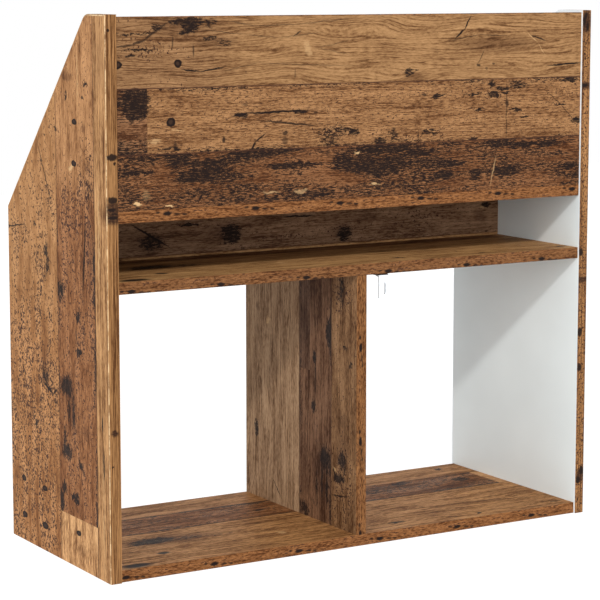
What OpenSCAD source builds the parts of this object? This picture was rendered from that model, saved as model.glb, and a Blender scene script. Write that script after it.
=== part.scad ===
// Kids bookcase: two open cubbies below, a shelf gap at the wall side, two book pockets in front.
// Millimetres. Z is up, the floor is Z = 0, the front faces -Y and the wall side +Y.

/* [Overall] */
// Width over both side panels
width = 735; // [620:5:900]
// Depth of the side panels at the floor
depth = 300; // [280:5:360]
// Height of the side panels
height = 700; // [650:5:800]
// Thickness of every board
board_t = 15; // [14:0.5:19]

/* [Side panels] */
// Depth of the side panels at the top
top_depth = 58; // [45:1:90]
// Height of the slope's foot above the lower shelf
slope_foot = 70; // [68:1:100]
// Radius of the corner between slope and top
top_corner_r = 18; // [6:1:30]
// Thickness of the edging round the side panels
edging_t = 2; // [1.2:0.1:3]
// Radius of the edging's outer arris
arris_r = 1.8; // [0.5:0.1:3]
// Thickness of the white facing on the inside
facing_t = 0.6; // [0.3:0.1:1.2]

/* [Shelves] */
// Clear height of the two cubbies
cubby_h = 345; // [300:1:360]
// Clear height between the two shelves
shelf_gap = 72; // [60:1:90]
// How far the boards stay back from the side panels' edges
board_recess = 3; // [0:0.5:6]
// Thickness of the strip on the boards' edges
strip_t = 1; // [0.4:0.1:2]
// Radius of the strip's arrises
strip_r = 0.8; // [0.2:0.1:2]

/* [Upright panels] */
// How far the back panel's top stays below the side panels
back_panel_drop = 3; // [0:1:20]
// From the wall plane to the middle panel
middle_setback = 190; // [170:1:200]
// Height of the middle panel above the lower shelf
middle_h = 165; // [150:1:170]
// Height of the front rail above the lower shelf
rail_h = 65; // [60:1:66]

/* [Dowels] */
// Diameter of a dowel
dowel_d = 8; // [6:0.5:8]
// Length of a dowel in the face of a board
dowel_in_face = 10; // [7:0.5:11]
// Length of a dowel in the edge of a board
dowel_in_edge = 20; // [15:1:25]
// Chamfer at a dowel's ends
dowel_chamfer = 1; // [0.3:0.1:1.5]
// From a cam bolt to the dowel next to it
dowel_step = 32; // [24:1:36]

/* [Cam locks] */
// Diameter of a cam
cam_d = 15; // [13:0.5:16]
// From the board's end to the cam's axis
cam_offset = 24; // [22:1:34]
// From the board's end corner to the first cam bolt
bolt_inset = 32; // [28:1:40]
// Diameter of the bolt's screwed end
bolt_thread_d = 6; // [5:0.5:7]
// Length of the bolt's screwed end
bolt_thread_l = 11; // [8:0.5:12]
// Diameter of the bolt's head
bolt_head_d = 6.4; // [5.5:0.1:6.6]
// Diameter of the bolt's neck, which the cam grips
bolt_neck_d = 4; // [3:0.1:4.4]

/* [Wall bracket] */
// From the divider's face to the bracket's middle
bracket_from_divider = 24.5; // [12:0.5:80]
// Width of the bracket
bracket_w = 15; // [12:0.5:25]
// Thickness of the bracket's metal
bracket_t = 2; // [1:0.1:3]
// How far the bracket hangs below the shelf
bracket_drop = 32.5; // [30:0.5:50]
// Length of the leg under the shelf
bracket_leg = 22; // [18:0.5:30]
// Inner radius of the bend
bend_r = 1.5; // [0.5:0.1:3]
// Radius of the legs' free corners
leg_corner_r = 2; // [0.5:0.1:4]
// Width of the slot for the wall screw
slot_w = 4.5; // [4:0.1:6]
// Length of the slot, end to end
slot_l = 16; // [10:0.5:18]
// From the shelf's underside to the slot's middle
slot_drop = 19; // [17:0.5:20]
// Diameter of the screw into the shelf
screw_d = 3.5; // [3:0.1:4]
// Length of the screw below its head
screw_l = 12; // [8:0.5:14]
// From the wall plane to the screw
screw_setback = 13; // [10:0.5:18]
// Diameter of the screw's head
screw_head_d = 7; // [6:0.1:9]
// Height of the screw's head
screw_head_h = 2.4; // [1.5:0.1:3]

/* [Clearances] */
// Gap round dowels, cams, bolts and the screw in their bores
fit_gap = 0.1; // [0.05:0.01:0.2]
// Gap at the blind end of a bore
end_gap = 0.3; // [0.1:0.1:1]

/* [Hidden] */
$fn = 48;

// Colours, as the photograph shows them
plank_brown = [0.60, 0.43, 0.28];
dark_plank = [0.46, 0.32, 0.21];
edge_brown = [0.64, 0.42, 0.24];
facing_white = [0.93, 0.93, 0.93];
beech = [0.83, 0.69, 0.49];
zinc = [0.72, 0.73, 0.74];

// Planes of the carcass
back_y = depth / 2;
front_y = -depth / 2;
inner_x = width / 2 - board_t;
inner_w = 2 * inner_x;
shelf_back = back_y - board_recess;
shelf_front = front_y + board_recess;
lower_under = board_t + cubby_h;
lower_top = lower_under + board_t;
upper_under = lower_top + shelf_gap;
upper_top = upper_under + board_t;
slope_z = lower_top + slope_foot;
middle_back = back_y - middle_setback;
middle_mid = middle_back - board_t / 2;
back_panel_mid = shelf_back - board_t / 2;
back_panel_top = height - back_panel_drop;
rail_mid = shelf_front + board_t / 2;
past = 1;

// Slope of the side panels, in the plane across the bookcase
slope_run = depth - top_depth;
slope_rise = height - slope_z;
slope_len = norm([slope_run, slope_rise]);
slope_turn = atan2(slope_rise, slope_run);
corner_u = front_y + slope_run + top_corner_r * tan(slope_turn / 2);
corner_v = height - top_corner_r;
corner_chords = 8;
// An arris leaves a narrow flat of the edging or strip beside it
arris_flat = 0.2;
side_arris = min(arris_r, edging_t - arris_flat);
strip_arris = min(strip_r, strip_t - arris_flat);

// Bores along the boards' ends: first and last place between two edges
function ends_in(a, b, inset) = [a + inset, b - inset];
full_bolt_y = ends_in(shelf_front, shelf_back, bolt_inset);
full_dowel_y = ends_in(shelf_front, shelf_back, bolt_inset + dowel_step);
upper_bolt_y = ends_in(middle_back, shelf_back, bolt_inset);
upper_dowel_y = ends_in(middle_back, shelf_back, bolt_inset + dowel_step);
rail_dowel_edge = 11;
rail_spread = rail_h / 2 - rail_dowel_edge;

// Places of bolts and dowels in the side panels' inner faces, as [Y, Z]
bottom_bolts = [for (y = full_bolt_y) [y, board_t / 2]];
bottom_dowels = [for (y = full_dowel_y) [y, board_t / 2]];
lower_bolts = [for (y = full_bolt_y) [y, lower_top - board_t / 2]];
lower_dowels = [for (y = full_dowel_y) [y, lower_top - board_t / 2]];
upper_bolts = [for (y = upper_bolt_y) [y, upper_top - board_t / 2]];
upper_dowels = [for (y = upper_dowel_y) [y, upper_top - board_t / 2]];
back_bolts = [[back_panel_mid, back_panel_top - bolt_inset]];
back_dowels = [for (z = ends_in(upper_top, back_panel_top, bolt_inset + dowel_step)) [back_panel_mid, z]];
middle_bolts = [[middle_mid, lower_top + middle_h - bolt_inset]];
middle_dowels = [for (i = [1, 2]) [middle_mid, lower_top + middle_h - bolt_inset - i * dowel_step]];
rail_bolts = [[rail_mid, lower_top + rail_h / 2]];
rail_dowels = [for (s = [-1, 1]) [rail_mid, lower_top + rail_h / 2 + s * rail_spread]];
side_bolts = concat(bottom_bolts, lower_bolts, upper_bolts, back_bolts, middle_bolts, rail_bolts);
side_dowels = concat(bottom_dowels, lower_dowels, upper_dowels, back_dowels, middle_dowels, rail_dowels);

// Dowels along the long edges: two pairs, clear of the divider
outer_foot_x = inner_x - bolt_inset - dowel_step;
foot_x = [for (k = [-1, -1 / 3, 1 / 3, 1]) k * outer_foot_x];

// Cam and bolt details
cam_r = cam_d / 2;
cam_sink = 0.2;
cam_below_axis = 4.9;
cam_wall = 2.5;
chamber_r = cam_r - fit_gap - cam_wall;
chamber_half_h = bolt_head_d / 2 + 0.4;
neck_slot_half = bolt_neck_d / 2 + 0.3;
mouth_turn = 50;
drive_l = 7;
drive_w = 1.5;
drive_depth = 2.4;
mouth_gap = 0.3;
arrow_l = 1.9;
arrow_edge = 0.7;
arrow_depth = 0.4;
bolt_hole_r = 4;
collar_r = 3.7;
collar_l = 1.5;
shaft_r = 2.5;
bolt_tip_l = 2;
bolt_tip_in = 1;
neck_taper = 0.5;
head_grip = chamber_r - 0.5;
head_full = chamber_r - 1.7;
head_end = 0.4;
head_chamfer = 1;

// Bracket and screw details
bracket_mid = -(board_t / 2 + bracket_from_divider);
outer_bend_r = bend_r + bracket_t;
screw_hole_r = screw_d / 2 + 0.5;
screw_tip = 2.5;
tip_r = 0.4;
head_round = 1;
recess_w = 0.9;
recess_depth = 1.4;

// Points of the side panel's outline, moved inwards by t, with its lower edge at z0.
// The corner between top and slope is round, in short chords.
function slope_foot_v(t) = slope_z - t * (slope_len - slope_rise) / slope_run;
function corner_point(a, t) = [corner_u, corner_v] + (top_corner_r - t) * [-sin(a), cos(a)];
function side_points(t, z0 = 0) = concat(
    [[front_y + t, z0], [back_y - t, z0], [back_y - t, height - t]],
    [for (i = [0:corner_chords]) corner_point(slope_turn * i / corner_chords, t)],
    [[front_y + t, slope_foot_v(t)]]
);

// From outline coordinates to the left side panel: Y across, Z up, thickness along X
module on_left_side() {
    translate([-width / 2, 0, 0])
        rotate([90, 0, 90])
            children();
}

module both_sides() {
    children();
    mirror([1, 0, 0])
        children();
}

// What is cut away to round the arris between the outer face and a straight edge from p to q
module straight_arris(p, q) {
    r = side_arris;
    l = norm(q - p);
    translate([p.x, p.y, 0])
        rotate([0, 0, atan2(q.y - p.y, q.x - p.x)])
            difference() {
                translate([-past, -past, -past])
                    cube([l + 2 * past, r + past, r + past]);
                translate([-2 * past, r, r])
                    rotate([0, 90, 0])
                        cylinder(r = r, h = l + 4 * past);
            }
}

// All the arrises of the outer face but the one on the floor
module side_arrises() {
    points = side_points(0);
    for (i = [1:len(points) - 1])
        straight_arris(points[i], points[(i + 1) % len(points)]);
}

// Edging round the back, top, slope and front of a side panel
module side_edging() {
    color(edge_brown)
        difference() {
            linear_extrude(board_t)
                difference() {
                    polygon(side_points(0));
                    polygon(side_points(edging_t, -past));
                }
            side_arrises();
        }
}

// Board of a side panel, bored for bolts and dowels
module side_core() {
    color(plank_brown)
        difference() {
            on_left_side()
                linear_extrude(board_t - facing_t)
                    polygon(side_points(edging_t));
            side_bores();
        }
}

module side_facing() {
    color(facing_white)
        difference() {
            on_left_side()
                translate([0, 0, board_t - facing_t])
                    linear_extrude(facing_t)
                        polygon(side_points(edging_t));
            side_bores();
        }
}

module side_bores() {
    at_left_end(side_bolts)
        bolt_face_bore();
    at_left_end(side_dowels)
        dowel_bore();
}

// Joint frames: the origin is in the joint's plane, +X runs into the board whose end meets it
// and +Z points to the face that its cam opens to
module at_left_end(places, turn = 0) {
    for (p = places)
        translate([-inner_x, p.x, p.y])
            rotate([turn, 0, 0])
                children();
}

module at_ends(places, turn = 0) {
    both_sides()
        at_left_end(places, turn)
            children();
}

// Joints under an upright panel that stands at y on the plane z
module at_foot(y, z) {
    for (x = foot_x)
        translate([x, y, z])
            rotate([0, -90, 0])
                children();
}

// Joints between the upper shelf's front edge and the middle panel
module at_upper_front() {
    for (x = foot_x)
        translate([x, middle_back, upper_top - board_t / 2])
            rotate([0, 0, 90])
                children();
}

// Joints at the divider's lower and upper ends
module at_divider(places) {
    for (y = places) {
        translate([0, y, board_t])
            rotate([0, -90, 0])
                children();
        translate([0, y, lower_under])
            rotate([0, 90, 180])
                children();
    }
}

down = 180;
to_front = 90;
to_back = -90;

// Bores
module along_x(from, to, r) {
    translate([from, 0, 0])
        rotate([0, 90, 0])
            cylinder(r = r, h = to - from);
}

module dowel_bore() {
    along_x(-dowel_in_face - end_gap, dowel_in_edge + end_gap, dowel_d / 2);
}

module bolt_face_bore() {
    along_x(-bolt_thread_l - end_gap, past, bolt_thread_d / 2 + fit_gap);
}

module bolt_edge_bores() {
    bore_bottom = -cam_below_axis - end_gap;
    along_x(-past, cam_offset, bolt_hole_r);
    translate([cam_offset, 0, bore_bottom])
        cylinder(r = cam_r, h = board_t / 2 + past - bore_bottom);
}

// Chamfered wooden dowel, its short part in the face of the other board
module dowel() {
    r = dowel_d / 2 - fit_gap;
    c = dowel_chamfer;
    color(beech)
        rotate([0, 90, 0])
            rotate_extrude()
                polygon([
                    [0, -dowel_in_face],
                    [r - c, -dowel_in_face],
                    [r, -dowel_in_face + c],
                    [r, dowel_in_edge - c],
                    [r - c, dowel_in_edge],
                    [0, dowel_in_edge]
                ]);
}

// Cam bolt: screwed end, collar at the joint, shaft, neck and head
module cam_bolt() {
    thread_r = bolt_thread_d / 2;
    neck_r = bolt_neck_d / 2;
    head_r = bolt_head_d / 2;
    neck_from = cam_offset - cam_r - fit_gap;
    color(zinc)
        rotate([0, 90, 0])
            rotate_extrude()
                polygon([
                    [0, -bolt_thread_l],
                    [thread_r - bolt_tip_in, -bolt_thread_l],
                    [thread_r, -bolt_thread_l + bolt_tip_l],
                    [thread_r, 0],
                    [collar_r, 0],
                    [collar_r, collar_l],
                    [shaft_r, collar_l],
                    [shaft_r, neck_from - neck_taper],
                    [neck_r, neck_from],
                    [neck_r, cam_offset - head_grip],
                    [head_r, cam_offset - head_full],
                    [head_r, cam_offset - head_end - head_chamfer],
                    [head_r - head_chamfer, cam_offset - head_end],
                    [0, cam_offset - head_end]
                ]);
}

// Cam lock, turned shut: a hollow disc with a mouth for the bolt's head, a slot that sweeps from the
// mouth round to the bolt's neck, a cross for the screwdriver and an arrow beside it
module cam_lock() {
    r = cam_r - fit_gap;
    top = board_t / 2 - cam_sink;
    sweep = 180 + asin(neck_slot_half / chamber_r) - mouth_turn;
    color(zinc)
        translate([cam_offset, 0, 0])
            difference() {
                translate([0, 0, -cam_below_axis])
                    cylinder(r = r, h = top + cam_below_axis);
                translate([0, 0, -chamber_half_h])
                    cylinder(r = chamber_r, h = 2 * chamber_half_h);
                rotate([0, 0, mouth_turn])
                    rotate_extrude(angle = sweep)
                        translate([chamber_r - cam_wall / 2, -neck_slot_half])
                            square([cam_r, 2 * neck_slot_half]);
                rotate([0, 0, mouth_turn])
                    along_x(chamber_r / 2, cam_d, bolt_head_d / 2 + mouth_gap);
                for (turn = [0, 90])
                    rotate([0, 0, turn + mouth_turn])
                        translate([-drive_l / 2, -drive_w / 2, top - drive_depth])
                            cube([drive_l, drive_w, drive_depth + past]);
                rotate([0, 0, mouth_turn])
                    translate([r - arrow_l - arrow_edge, 0, top - arrow_depth])
                        linear_extrude(past)
                            polygon([[0, -arrow_l / 2], [arrow_l, 0], [0, arrow_l / 2]]);
            }
}

// Board that lies between the sides, from y0 to y1 and z0 to z1
module board(y0, y1, z0, z1) {
    translate([-inner_x, y0, z0])
        cube([inner_w, y1 - y0, z1 - z0]);
}

// Cross-section of an edge strip: its back at x = 0, its face at x = strip_t, round arrises
module strip_profile(h) {
    r = strip_arris;
    difference() {
        square([strip_t, h]);
        for (low = [true, false])
            translate([strip_t - r, low ? 0 : h - r])
                difference() {
                    translate([0, low ? -past : 0])
                        square([r + past, r + past]);
                    translate([0, low ? r : 0])
                        circle(r);
                }
    }
}

// Strip along X on the edge of a board that faces the wall
module strip_at_back(z0, h) {
    color(edge_brown)
        translate([-inner_x, shelf_back - strip_t, z0])
            rotate([90, 0, 90])
                linear_extrude(inner_w)
                    strip_profile(h);
}

// The same at the wall side and the front of a board of full depth
module front_and_back() {
    for (turn = [0, 180])
        rotate([0, 0, turn])
            children();
}

// Strip along X on the top edge of an upright panel
module strip_on_top(y0, z0) {
    color(edge_brown)
        translate([-inner_x, y0, z0])
            rotate([180, -90, 0])
                mirror([0, 1, 0])
                    linear_extrude(inner_w)
                        strip_profile(board_t);
}

// Boards
module left_side_panel() {
    side_core();
}

module right_side_panel() {
    mirror([1, 0, 0])
        side_core();
}

module left_facing() {
    side_facing();
}

module right_facing() {
    mirror([1, 0, 0])
        side_facing();
}

module left_side_edging() {
    on_left_side()
        side_edging();
}

module right_side_edging() {
    mirror([1, 0, 0])
        on_left_side()
            side_edging();
}

module bottom_panel() {
    color(dark_plank)
        difference() {
            board(shelf_front + strip_t, shelf_back - strip_t, 0, board_t);
            at_ends(bottom_bolts, down)
                bolt_edge_bores();
            at_ends(bottom_dowels)
                dowel_bore();
            divider_bores();
        }
}

module lower_shelf() {
    color(dark_plank)
        difference() {
            board(shelf_front + strip_t, shelf_back - strip_t, lower_under, lower_top);
            at_ends(lower_bolts, down)
                bolt_edge_bores();
            at_ends(lower_dowels)
                dowel_bore();
            divider_bores();
            at_foot(middle_mid, lower_top)
                dowel_bore();
            at_foot(rail_mid, lower_top)
                dowel_bore();
            translate([bracket_mid, back_y - screw_setback, lower_under])
                translate([0, 0, -past])
                    cylinder(r = screw_d / 2 + fit_gap, h = screw_l - bracket_t + end_gap + past);
        }
}

module upper_shelf() {
    color(dark_plank)
        difference() {
            board(middle_back, shelf_back - strip_t, upper_under, upper_top);
            at_ends(upper_bolts, down)
                bolt_edge_bores();
            at_ends(upper_dowels)
                dowel_bore();
            at_upper_front()
                dowel_bore();
            at_foot(back_panel_mid, upper_top)
                dowel_bore();
        }
}

// Bolts' and dowels' bores in the boards below and above the divider
module divider_bores() {
    at_divider(full_bolt_y)
        bolt_face_bore();
    at_divider(full_dowel_y)
        dowel_bore();
}

module divider_panel() {
    color(plank_brown)
        difference() {
            translate([-board_t / 2, shelf_front + strip_t, board_t])
                cube([board_t, shelf_back - shelf_front - 2 * strip_t, cubby_h]);
            at_divider(full_bolt_y)
                bolt_edge_bores();
            at_divider(full_dowel_y)
                dowel_bore();
        }
}

module back_panel() {
    color(plank_brown)
        difference() {
            board(shelf_back - board_t, shelf_back, upper_top, back_panel_top - strip_t);
            at_ends(back_bolts, to_front)
                bolt_edge_bores();
            at_ends(back_dowels)
                dowel_bore();
            at_foot(back_panel_mid, upper_top)
                dowel_bore();
        }
}

module middle_panel() {
    color(dark_plank)
        difference() {
            board(middle_back - board_t, middle_back, lower_top, lower_top + middle_h - strip_t);
            at_ends(middle_bolts, to_back)
                bolt_edge_bores();
            at_ends(middle_dowels)
                dowel_bore();
            at_foot(middle_mid, lower_top)
                dowel_bore();
            at_upper_front()
                dowel_bore();
        }
}

module front_rail() {
    color(plank_brown)
        difference() {
            board(shelf_front, shelf_front + board_t, lower_top, lower_top + rail_h - strip_t);
            at_ends(rail_bolts, to_back)
                bolt_edge_bores();
            at_ends(rail_dowels)
                dowel_bore();
            at_foot(rail_mid, lower_top)
                dowel_bore();
        }
}

// Edge strips
module bottom_panel_edging() {
    front_and_back()
        strip_at_back(0, board_t);
}

module lower_shelf_edging() {
    front_and_back()
        strip_at_back(lower_under, board_t);
}

module upper_shelf_edging() {
    strip_at_back(upper_under, board_t);
}

module divider_edging() {
    color(edge_brown)
        front_and_back()
            translate([board_t / 2, shelf_back - strip_t, board_t])
                rotate([0, 0, 90])
                    linear_extrude(cubby_h)
                        strip_profile(board_t);
}

module back_panel_edging() {
    strip_on_top(shelf_back - board_t, back_panel_top - strip_t);
}

module middle_panel_edging() {
    strip_on_top(middle_back - board_t, lower_top + middle_h - strip_t);
}

module front_rail_edging() {
    strip_on_top(shelf_front, lower_top + rail_h - strip_t);
}

// Fasteners, one set for each board
module bottom_panel_cams() {
    at_ends(bottom_bolts, down)
        cam_lock();
}

module lower_shelf_cams() {
    at_ends(lower_bolts, down)
        cam_lock();
}

module upper_shelf_cams() {
    at_ends(upper_bolts, down)
        cam_lock();
}

module divider_cams() {
    at_divider(full_bolt_y)
        cam_lock();
}

module back_panel_cams() {
    at_ends(back_bolts, to_front)
        cam_lock();
}

module middle_panel_cams() {
    at_ends(middle_bolts, to_back)
        cam_lock();
}

module front_rail_cams() {
    at_ends(rail_bolts, to_back)
        cam_lock();
}

module bottom_panel_bolts() {
    at_ends(bottom_bolts)
        cam_bolt();
}

module lower_shelf_bolts() {
    at_ends(lower_bolts)
        cam_bolt();
}

module upper_shelf_bolts() {
    at_ends(upper_bolts)
        cam_bolt();
}

module divider_bolts() {
    at_divider(full_bolt_y)
        cam_bolt();
}

module back_panel_bolts() {
    at_ends(back_bolts)
        cam_bolt();
}

module middle_panel_bolts() {
    at_ends(middle_bolts)
        cam_bolt();
}

module front_rail_bolts() {
    at_ends(rail_bolts)
        cam_bolt();
}

module bottom_panel_dowels() {
    at_ends(bottom_dowels)
        dowel();
}

module lower_shelf_dowels() {
    at_ends(lower_dowels)
        dowel();
}

module upper_shelf_dowels() {
    at_ends(upper_dowels)
        dowel();
    at_upper_front()
        dowel();
}

module divider_dowels() {
    at_divider(full_dowel_y)
        dowel();
}

module back_panel_dowels() {
    at_ends(back_dowels)
        dowel();
    at_foot(back_panel_mid, upper_top)
        dowel();
}

module middle_panel_dowels() {
    at_ends(middle_dowels)
        dowel();
    at_foot(middle_mid, lower_top)
        dowel();
}

module front_rail_dowels() {
    at_ends(rail_dowels)
        dowel();
    at_foot(rail_mid, lower_top)
        dowel();
}

// Cross-section of the bracket: u runs away from the wall, v up, the bend's outer corner at the origin
module bracket_profile() {
    translate([0, -bracket_drop])
        square([bracket_t, bracket_drop - outer_bend_r]);
    translate([outer_bend_r, -bracket_t])
        square([bracket_leg - outer_bend_r, bracket_t]);
    translate([outer_bend_r, -outer_bend_r])
        intersection() {
            difference() {
                circle(outer_bend_r);
                circle(bend_r);
            }
            translate([-outer_bend_r, 0])
                square(outer_bend_r);
        }
}

// Round-cornered blank of a leg: length l from the bend, width w, cut with the profile
module leg_blank(l, h) {
    r = leg_corner_r;
    linear_extrude(h)
        difference() {
            translate([-bracket_w / 2, 0])
                square([bracket_w, l]);
            for (side = [0, 1])
                mirror([side, 0])
                    translate([bracket_w / 2 - r, l - r])
                        difference() {
                            square(r + past);
                            circle(r);
                        }
        }
}

module wall_bracket() {
    color(facing_white)
        translate([bracket_mid, back_y, lower_under])
            difference() {
                intersection() {
                    translate([bracket_w / 2, 0, 0])
                        rotate([90, 0, -90])
                            linear_extrude(bracket_w)
                                bracket_profile();
                    translate([0, past, 0])
                        rotate([90, 0, 0])
                            mirror([0, 1, 0])
                                leg_blank(bracket_drop, bracket_leg + 2 * past);
                    translate([0, 0, -bracket_drop - past])
                        mirror([0, 1, 0])
                            leg_blank(bracket_leg, bracket_drop + 2 * past);
                }
                for (s = [-1, 1])
                    translate([0, past, -slot_drop + s * (slot_l - slot_w) / 2])
                        rotate([90, 0, 0])
                            cylinder(d = slot_w, h = bracket_t + 2 * past);
                translate([-slot_w / 2, -bracket_t - past, -slot_drop - (slot_l - slot_w) / 2])
                    cube([slot_w, bracket_t + 2 * past, slot_l - slot_w]);
                translate([0, -screw_setback, -bracket_t - past])
                    cylinder(r = screw_hole_r, h = bracket_t + 2 * past);
            }
}

// Pan-head screw with a pointed end, driven up into the lower shelf
module bracket_screw() {
    r = screw_d / 2;
    head_r = screw_head_d / 2;
    color(zinc)
        translate([bracket_mid, back_y - screw_setback, lower_under - bracket_t])
            difference() {
                rotate_extrude()
                    polygon([
                        [0, -screw_head_h],
                        [head_r - head_round, -screw_head_h],
                        [head_r, -screw_head_h + head_round],
                        [head_r, 0],
                        [r, 0],
                        [r, screw_l - screw_tip],
                        [tip_r, screw_l],
                        [0, screw_l]
                    ]);
                for (turn = [0, 90])
                    rotate([0, 0, turn])
                        translate([-r, -recess_w / 2, -screw_head_h - past])
                            cube([2 * r, recess_w, past + recess_depth]);
            }
}

left_side_panel();
right_side_panel();
left_facing();
right_facing();
left_side_edging();
right_side_edging();
bottom_panel();
lower_shelf();
upper_shelf();
divider_panel();
back_panel();
middle_panel();
front_rail();
bottom_panel_edging();
lower_shelf_edging();
upper_shelf_edging();
divider_edging();
back_panel_edging();
middle_panel_edging();
front_rail_edging();
bottom_panel_cams();
lower_shelf_cams();
upper_shelf_cams();
divider_cams();
back_panel_cams();
middle_panel_cams();
front_rail_cams();
bottom_panel_bolts();
lower_shelf_bolts();
upper_shelf_bolts();
divider_bolts();
back_panel_bolts();
middle_panel_bolts();
front_rail_bolts();
bottom_panel_dowels();
lower_shelf_dowels();
upper_shelf_dowels();
divider_dowels();
back_panel_dowels();
middle_panel_dowels();
front_rail_dowels();
wall_bracket();
bracket_screw();
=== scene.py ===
import math
from collections import namedtuple

import bpy
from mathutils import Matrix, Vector


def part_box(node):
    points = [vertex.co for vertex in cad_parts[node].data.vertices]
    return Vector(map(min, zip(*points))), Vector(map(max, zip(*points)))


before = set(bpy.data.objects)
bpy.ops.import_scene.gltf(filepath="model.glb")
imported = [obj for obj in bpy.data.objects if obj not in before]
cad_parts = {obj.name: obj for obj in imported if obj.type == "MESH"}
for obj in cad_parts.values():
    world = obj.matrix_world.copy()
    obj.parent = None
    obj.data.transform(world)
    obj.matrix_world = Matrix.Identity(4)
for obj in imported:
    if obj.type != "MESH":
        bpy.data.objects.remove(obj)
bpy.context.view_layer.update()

# Places on the boards are in millimetres of the row frame, the camera and the floor in metres
MM = 0.001


def low_end(node, axis):
    """Where a node starts along an axis of the row frame, in millimetres."""
    return round(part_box(node)[0]["xyz".index(axis)] / MM, 2)


def high_end(node, axis):
    """Where a node ends along an axis of the row frame, in millimetres."""
    return round(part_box(node)[1]["xyz".index(axis)] / MM, 2)


# Outer faces of the side panels, and their thickness with facing and edging
RIGHT_OUTSIDE = high_end("right_side_edging", "x")
LEFT_OUTSIDE = low_end("left_side_edging", "x")
SIDE_THICKNESS = RIGHT_OUTSIDE - low_end("right_side_edging", "x")
# Where the side panels and the boards between them end at the front and at the wall side
SIDE_FRONT = low_end("right_side_edging", "y")
SIDE_WALL = high_end("right_side_edging", "y")
BOARD_FRONT = low_end("bottom_panel_edging", "y")
BOARD_WALL = high_end("bottom_panel_edging", "y")
# Faces and upper ends of the boards that carry marks
BOTTOM_TOP = high_end("bottom_panel", "z")
LOWER_TOP = high_end("lower_shelf", "z")
UPPER_TOP = high_end("upper_shelf", "z")
UPPER_FRONT = low_end("upper_shelf", "y")
BACK_TOP = high_end("back_panel_edging", "z")
MIDDLE_FACE = high_end("middle_panel", "y")
MIDDLE_TOP = high_end("middle_panel_edging", "z")
RAIL_FACE = low_end("front_rail", "y")
RAIL_TOP = high_end("front_rail_edging", "z")
DIVIDER_FACE = high_end("divider_panel", "x")


def srgb(red, green, blue):
    """Linear colour of an sRGB triple from 0 to 255."""
    def linear(value):
        value /= 255
        return value / 12.92 if value <= 0.04045 else ((value + 0.055) / 1.055) ** 2.4
    return (linear(red), linear(green), linear(blue))


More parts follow.
